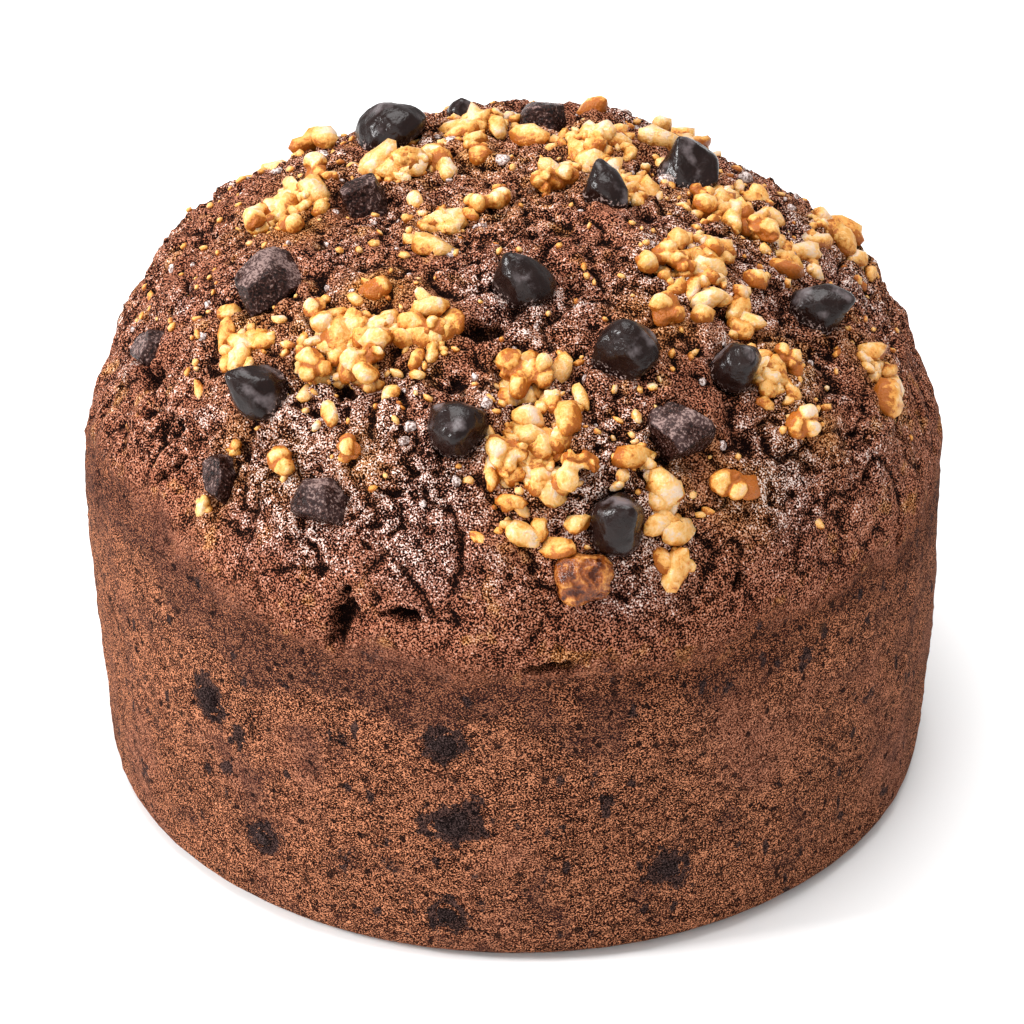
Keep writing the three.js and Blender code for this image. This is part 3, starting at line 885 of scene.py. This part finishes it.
# The size of the faces that each topping is worked from, and of the lumps in a nut.
CHIP_FACE = 0.42 * MM
CHUNK_FACE = 0.38 * MM
NUT_FACE = 0.36 * MM
FRUIT_FACE = 0.34 * MM
NUT_LUMP = 4.3 * MM


def outward_at(points):
    """The way out of the loaf, near enough, at points on its crust."""
    return unit(points - np.array([0, 0, RIM_HEIGHT * 0.55]))


def any_way(draws):
    return np.array([draws.gauss(0, 1) for _ in range(3)])


def flatten_sides(points, middle, up, draws, count, share):
    """Presses a few facets into the sides of a rounded shape."""
    for _ in range(count):
        way = unit(any_way(draws))
        way = unit(way + up * (draws.uniform(-0.1, 0.5) - way @ up))
        reach = (points - middle) @ way
        excess = np.maximum(reach - share * reach.max(), 0)
        points = points - way * (0.95 * excess)[:, None]
    return points


def lean_over(points, middle, up, draws, share):
    """Tips a drop's point to one side."""
    way = any_way(draws)
    way = unit(way - up * (way @ up))
    reach = np.maximum((points - middle) @ up, 0)
    return points + way * (share * reach ** 2 / reach.max())[:, None]


class PASCUA_OT_chips(bpy.types.Operator):
    """Press whole chocolate chips into the crust"""
    bl_idname = "pascua.chips"
    bl_label = "Chocolate chips"

    def execute(self, context):
        material = chip_finish(context.scene.pascua_toppings)
        crust = surface_of(bpy.data.objects["baked_loaf"])
        for node, number in numbered("chocolate_chip"):
            chip = fine_copy(node, f"chip_{number:02d}", CHIP_FACE)
            draws = random.Random(300 + number)
            points = points_of(chip.data)
            middle = points.mean(axis=0)
            up = outward_at(middle)
            points = flatten_sides(points, middle, up, draws, count=4, share=0.77)
            set_points(chip.data, lean_over(points, middle, up, draws, draws.uniform(0.1, 0.5)))
            soften(chip, 2)
            points = push_out(chip, 0.2 * MM * waves(points_of(chip.data), 3.2 * MM, number) + 0.15 * MM)
            set_attribute(chip.data, "edge", 1 - smoothstep(0.4 * MM, 1.6 * MM, gaps_to(crust, points)))
            finish_piece(chip, material, "chocolate", node)
        return {"FINISHED"}


class PASCUA_OT_chunks(bpy.types.Operator):
    """Press chopped chocolate into the crust and let some show at the wall"""
    bl_idname = "pascua.chunks"
    bl_label = "Chopped chocolate"

    def execute(self, context):
        on_crust = chunk_finish(context.scene.pascua_toppings)
        on_wall = wall_chunk_finish(context.scene.pascua_loaf)
        for node, number in numbered("chunk"):
            wall = node.startswith("wall")
            name = "wall_chocolate" if wall else "chopped_chocolate"
            chunk = fine_copy(node, f"{name}_{number:02d}", CHUNK_FACE)
            if wall:
                soften(chunk, 2)
            else:
                points = points_of(chunk.data)
                middle = points.mean(axis=0)
                draws = random.Random(700 + number)
                up = outward_at(middle)
                reach = (points - middle) @ up
                points -= up * np.maximum(reach - 0.72 * reach.max(), 0)[:, None]
                set_points(chunk.data, flatten_sides(points, middle, up, draws, count=7, share=0.66))
            points = points_of(chunk.data)
            ragged = 0.45 if wall else 0.08
            move = ragged * waves(points, 2.4 * MM, number) + 0.10 * waves(points, 1.0 * MM, number + 9)
            push_out(chunk, move * MM)
            if wall:
                way = unit(points.mean(axis=0) * np.array([1, 1, 0]))
                flat = points - points.mean(axis=0)
                flat -= np.outer(flat @ way, way)
                reach = np.linalg.norm(flat, axis=1)
                set_attribute(chunk.data, "edge", smoothstep(0.35, 1.0, reach / reach.max()))
            finish_piece(chunk, on_wall if wall else on_crust, "chocolate", node)
        return {"FINISHED"}


class PASCUA_OT_nuts(bpy.types.Operator):
    """Press the larger pieces of nut into the crust"""
    bl_idname = "pascua.nuts"
    bl_label = "Nuts"

    def execute(self, context):
        material = nut_finish(context.scene.pascua_toppings)
        crust = surface_of(bpy.data.objects["baked_loaf"])
        for node, number in numbered("nut"):
            draws = random.Random(500 + number)
            nut = fine_copy(node, f"chopped_nut_{number:02d}", NUT_FACE)
            soften(nut, 2)
            points = points_of(nut.data)
            middle, seam = grains_at(points, NUT_LUMP, number)
            seams = 1 - smoothstep(0, 0.28, seam)
            move = 1.7 * (0.42 - middle) - 0.45 * seams
            move += 0.25 * waves(points, 2.2 * MM, number + 20) + 0.14 * waves(points, 0.9 * MM, number + 40)
            near = gaps_to(crust, push_out(nut, (move + 0.3) * MM))
            # Paler where a nut stands out from the crust, darker in the seams: partly painted shade.
            set_attribute(nut.data, "out", smoothstep(0.2 * MM, 3.4 * MM, near) - 0.75 * seams)
            set_attribute(nut.data, "toast", np.full(len(points), draws.uniform(0.0, 0.55)))
            finish_piece(nut, material, "nut", node)
        return {"FINISHED"}


class PASCUA_OT_fruit(bpy.types.Operator):
    """Press the candied fruit into the crust"""
    bl_idname = "pascua.fruit"
    bl_label = "Candied fruit"

    def execute(self, context):
        material = fruit_finish(context.scene.pascua_toppings)
        for node, number in numbered("candied"):
            fruit = fine_copy(node, f"candied_peel_{number:02d}", FRUIT_FACE)
            soften(fruit, 4)
            points = points_of(fruit.data)
            move = 0.5 * waves(points, 4 * MM, number) + 0.15 * waves(points, 1.3 * MM, number + 3)
            push_out(fruit, move * MM)
            finish_piece(fruit, material, "candied_fruit", node)
        return {"FINISHED"}


# ---- Crumbs of nut and grains of sugar ----

# A crumb larger than this is a lump, and a smaller one is a speck.
SPECK_SIZE = 1.7 * MM


def lump_shape(subdivisions, seed):
    """One lump, a unit across, as points and triangles."""
    deselect_all()
    bpy.ops.mesh.primitive_ico_sphere_add(subdivisions=subdivisions, radius=0.5)
    lump = bpy.context.object
    points = points_of(lump.data)
    points *= (1 + 0.42 * waves(points, 0.5, seed, 2))[:, None]
    triangles = triangles_of(lump.data)
    bpy.data.objects.remove(lump, do_unlink=True)
    return points, triangles


def seat_on(crust, out, bearing):
    """The point of the crust that is so far out, seen from above, and the way out of it there."""
    way = bearing_way(bearing)
    hit, normal, _, _ = crust.ray_cast(Vector(way * out + np.array([0, 0, 0.2])), Vector((0, 0, -1)))
    return (np.array(hit), np.array(normal)) if hit is not None else (None, None)


def clear_of(point, hulls, room):
    return all(distance_outside(point[None, :], hull)[0] > room for hull in hulls)


class Heap:
    """Many small lumps that become one piece."""

    def __init__(self, shapes):
        self.shapes = shapes
        self.points = []
        self.triangles = []
        self.marks = {"out": [], "toast": []}
        self.count = 0

    def add(self, point, normal, size, sink, toast, draws):
        shape, triangles = self.shapes[draws.randrange(len(self.shapes))]
        stretch = np.array([draws.uniform(0.9, 1.5), draws.uniform(0.75, 1.1), draws.uniform(0.65, 0.95)])
        turn = Matrix.Rotation(draws.uniform(0, 2 * math.pi), 3, "Z")
        stand = Vector(normal).to_track_quat("Z", "Y").to_matrix()
        placed = (shape * stretch * size) @ np.array(stand @ turn).T
        level = placed @ normal
        placed += point + normal * size * (0.5 * stretch[2] - sink)
        self.points.append(placed)
        self.triangles.append(triangles + self.count)
        # Paler on a crumb's top and darker amber underneath: partly painted shade.
        self.marks["out"].append(smoothstep(-0.35, 0.45, level / size))
        self.marks["toast"].append(np.full(len(placed), toast))
        self.count += len(placed)

    def make(self, name):
        mesh = bpy.data.meshes.new(name)
        mesh.from_pydata(np.concatenate(self.points).tolist(), [],
                         np.concatenate(self.triangles).tolist())
        mesh.update()
        for key, values in self.marks.items():
            set_attribute(mesh, key, np.concatenate(values))
        return new_object(name, mesh)


class PASCUA_OT_crumbs(bpy.types.Operator):
    """Scatter chopped nut crumbs and coarse sugar over the crust"""
    bl_idname = "pascua.crumbs"
    bl_label = "Crumbs and sugar"

    def execute(self, context):
        settings = context.scene.pascua_toppings
        crust = surface_of(bpy.data.objects["baked_loaf"])
        draws = random.Random(77)
        chocolate = [hull_of(n) for n in NODE_NAMES if n.startswith("chocolate")]
        nuts = [hull_of(n) for n in NODE_NAMES if n.startswith("nut")]
        lumps = Heap([lump_shape(2, seed) for seed in range(1, 8)])
        specks = Heap([lump_shape(1, seed) for seed in range(11, 15)])
        sugar = Heap([lump_shape(2, seed) for seed in range(21, 25)])
        for bearing, share, radius, count in NUT_CLUSTERS:
            middle = bearing_way(bearing) * share * LOAF_RADIUS
            for i in range(count * 5):
                away = abs(draws.gauss(0, 0.6)) * radius * MM
                turn = draws.uniform(0, 2 * math.pi)
                spot = middle + np.array([math.cos(turn), math.sin(turn), 0]) * away
                large = i % 5 == 0
                size = (draws.uniform(2.8, 5.4) if large else draws.uniform(0.8, 2.6)) * MM
                heap = lumps if size > SPECK_SIZE else specks
                self.drop(crust, heap, spot, size, sink=0.34, toast=draws.uniform(0, 1) ** 1.2,
                          avoid=chocolate + (nuts if large else []), draws=draws)
        for _ in range(settings.crumbs):
            spot = self.anywhere(draws)
            size = draws.uniform(0.7, 1.6) * MM
            self.drop(crust, specks, spot, size, sink=0.3, toast=draws.uniform(0.2, 1),
                      avoid=chocolate, draws=draws)
        for _ in range(settings.grains):
            spot = self.anywhere(draws)
            size = (0.8 + 1.6 * draws.random() ** 2) * MM
            self.drop(crust, sugar, spot, size, sink=0.4, toast=0, avoid=chocolate, draws=draws)
        nut = nut_finish(settings)
        finish_piece(lumps.make("nut_crumbs"), nut, "nut")
        finish_piece(specks.make("nut_specks"), nut, "nut")
        finish_piece(sugar.make("sugar_grains"), sugar_finish(), "nut")
        return {"FINISHED"}

    @staticmethod
    def anywhere(draws):
        out = 0.88 * LOAF_RADIUS * math.sqrt(draws.random())
        return bearing_way(draws.uniform(0, 360)) * out

    @staticmethod
    def drop(crust, heap, spot, size, sink, toast, avoid, draws):
        out = math.hypot(spot[0], spot[1])
        if out > 0.95 * LOAF_RADIUS:
            return
        point, normal = seat_on(crust, out, math.degrees(math.atan2(spot[1], spot[0])))
        if point is None or not clear_of(point, avoid, size * 0.25):
            return
        heap.add(point, normal, size, sink, toast, draws)


# ---- The stage ----

LIT_POINT = Vector((0, 0, 0.4 * LOAF_TOP))
CAMERA_TARGET = Vector((-0.28 * MM, 0, 40.8 * MM))
FLOOR_SIZE = 6
FLOOR_GAP = 0.02 * MM


def aim(obj, target):
    obj.rotation_euler = (target - obj.location).to_track_quat("-Z", "Y").to_euler()


def soft_light(name, place, width, power):
    """A square light that faces the middle of the loaf."""
    deselect_all()
    bpy.ops.object.light_add(type="AREA", location=place)
    light = bpy.context.object
    light.name = name
    light.data.shape = "SQUARE"
    light.data.size = width
    light.data.energy = power
    aim(light, LIT_POINT)


def floor_finish():
    f = Finish("white_floor")
    shade = f.cloud(0.4, 1, 2.0, 0.5)
    return f.main(base_color=f.mix(shade, (0.90, 0.90, 0.90), (0.93, 0.93, 0.93)), roughness=0.9)


class PASCUA_OT_stage(bpy.types.Operator):
    """Set the white floor, the soft lights and the camera"""
    bl_idname = "pascua.stage"
    bl_label = "Stage"

    def execute(self, context):
        settings = context.scene.pascua_stage
        deselect_all()
        bpy.ops.mesh.primitive_plane_add(size=FLOOR_SIZE, location=(0, 0, CAD_BOX[0][2] - FLOOR_GAP))
        floor = context.object
        floor.name = "white_floor"
        bpy.ops.object.transform_apply(location=True, rotation=True, scale=True)
        floor.data.materials.append(floor_finish())

        soft_light("top_light", (-0.05, 0.1, 1.5), 1.0, settings.top_power)
        soft_light("key_light", (-1.05, -0.25, 0.65), 0.3, settings.key_power)
        soft_light("fill_light", (-0.4, -1.3, 0.7), 1.2, settings.fill_power)

        world = bpy.data.worlds.new("white_surroundings")
        context.scene.world = world
        world.use_nodes = True
        background = world.node_tree.nodes["Background"]
        background.inputs["Color"].default_value = (1, 1, 1, 1)
        background.inputs["Strength"].default_value = settings.sky

        back = Vector((0, -math.cos(settings.elevation), math.sin(settings.elevation)))
        deselect_all()
        bpy.ops.object.camera_add(location=CAMERA_TARGET + back * settings.distance)
        camera = context.object
        camera.data.lens = settings.lens
        camera.data.sensor_width = 36
        aim(camera, CAMERA_TARGET)
        context.scene.camera = camera
        context.scene.view_settings.view_transform = "Standard"
        return {"FINISHED"}


class PASCUA_PT_panel(bpy.types.Panel):
    """Shows the settings and the buttons for the steps that build the loaf"""
    bl_idname = "PASCUA_PT_panel"
    bl_label = "Pan de pascua"
    bl_space_type = "VIEW_3D"
    bl_region_type = "UI"
    bl_category = "Pascua"

    def draw(self, context):
        for group in (context.scene.pascua_loaf, context.scene.pascua_toppings, context.scene.pascua_stage):
            box = self.layout.box()
            for name in group.bl_rna.properties.keys():
                if name not in ("rna_type", "name"):
                    box.prop(group, name)
        for operator in STEPS:
            self.layout.operator(operator.bl_idname)


STEPS = (PASCUA_OT_loaf, PASCUA_OT_chips, PASCUA_OT_chunks, PASCUA_OT_nuts, PASCUA_OT_fruit,
         PASCUA_OT_crumbs, PASCUA_OT_stage)
CLASSES = (LoafSettings, ToppingSettings, StageSettings, *STEPS, PASCUA_PT_panel)


def register():
    for cls in CLASSES:
        bpy.utils.register_class(cls)
    bpy.types.Scene.pascua_loaf = PointerProperty(type=LoafSettings)
    bpy.types.Scene.pascua_toppings = PointerProperty(type=ToppingSettings)
    bpy.types.Scene.pascua_stage = PointerProperty(type=StageSettings)


def unregister():
    del bpy.types.Scene.pascua_stage
    del bpy.types.Scene.pascua_toppings
    del bpy.types.Scene.pascua_loaf
    for cls in reversed(CLASSES):
        bpy.utils.unregister_class(cls)


def main():
    register()
    bpy.ops.pascua.loaf()
    bpy.ops.pascua.chips()
    bpy.ops.pascua.chunks()
    bpy.ops.pascua.nuts()
    bpy.ops.pascua.fruit()
    bpy.ops.pascua.crumbs()
    bpy.ops.pascua.stage()


if __name__ == "__main__":
    main()
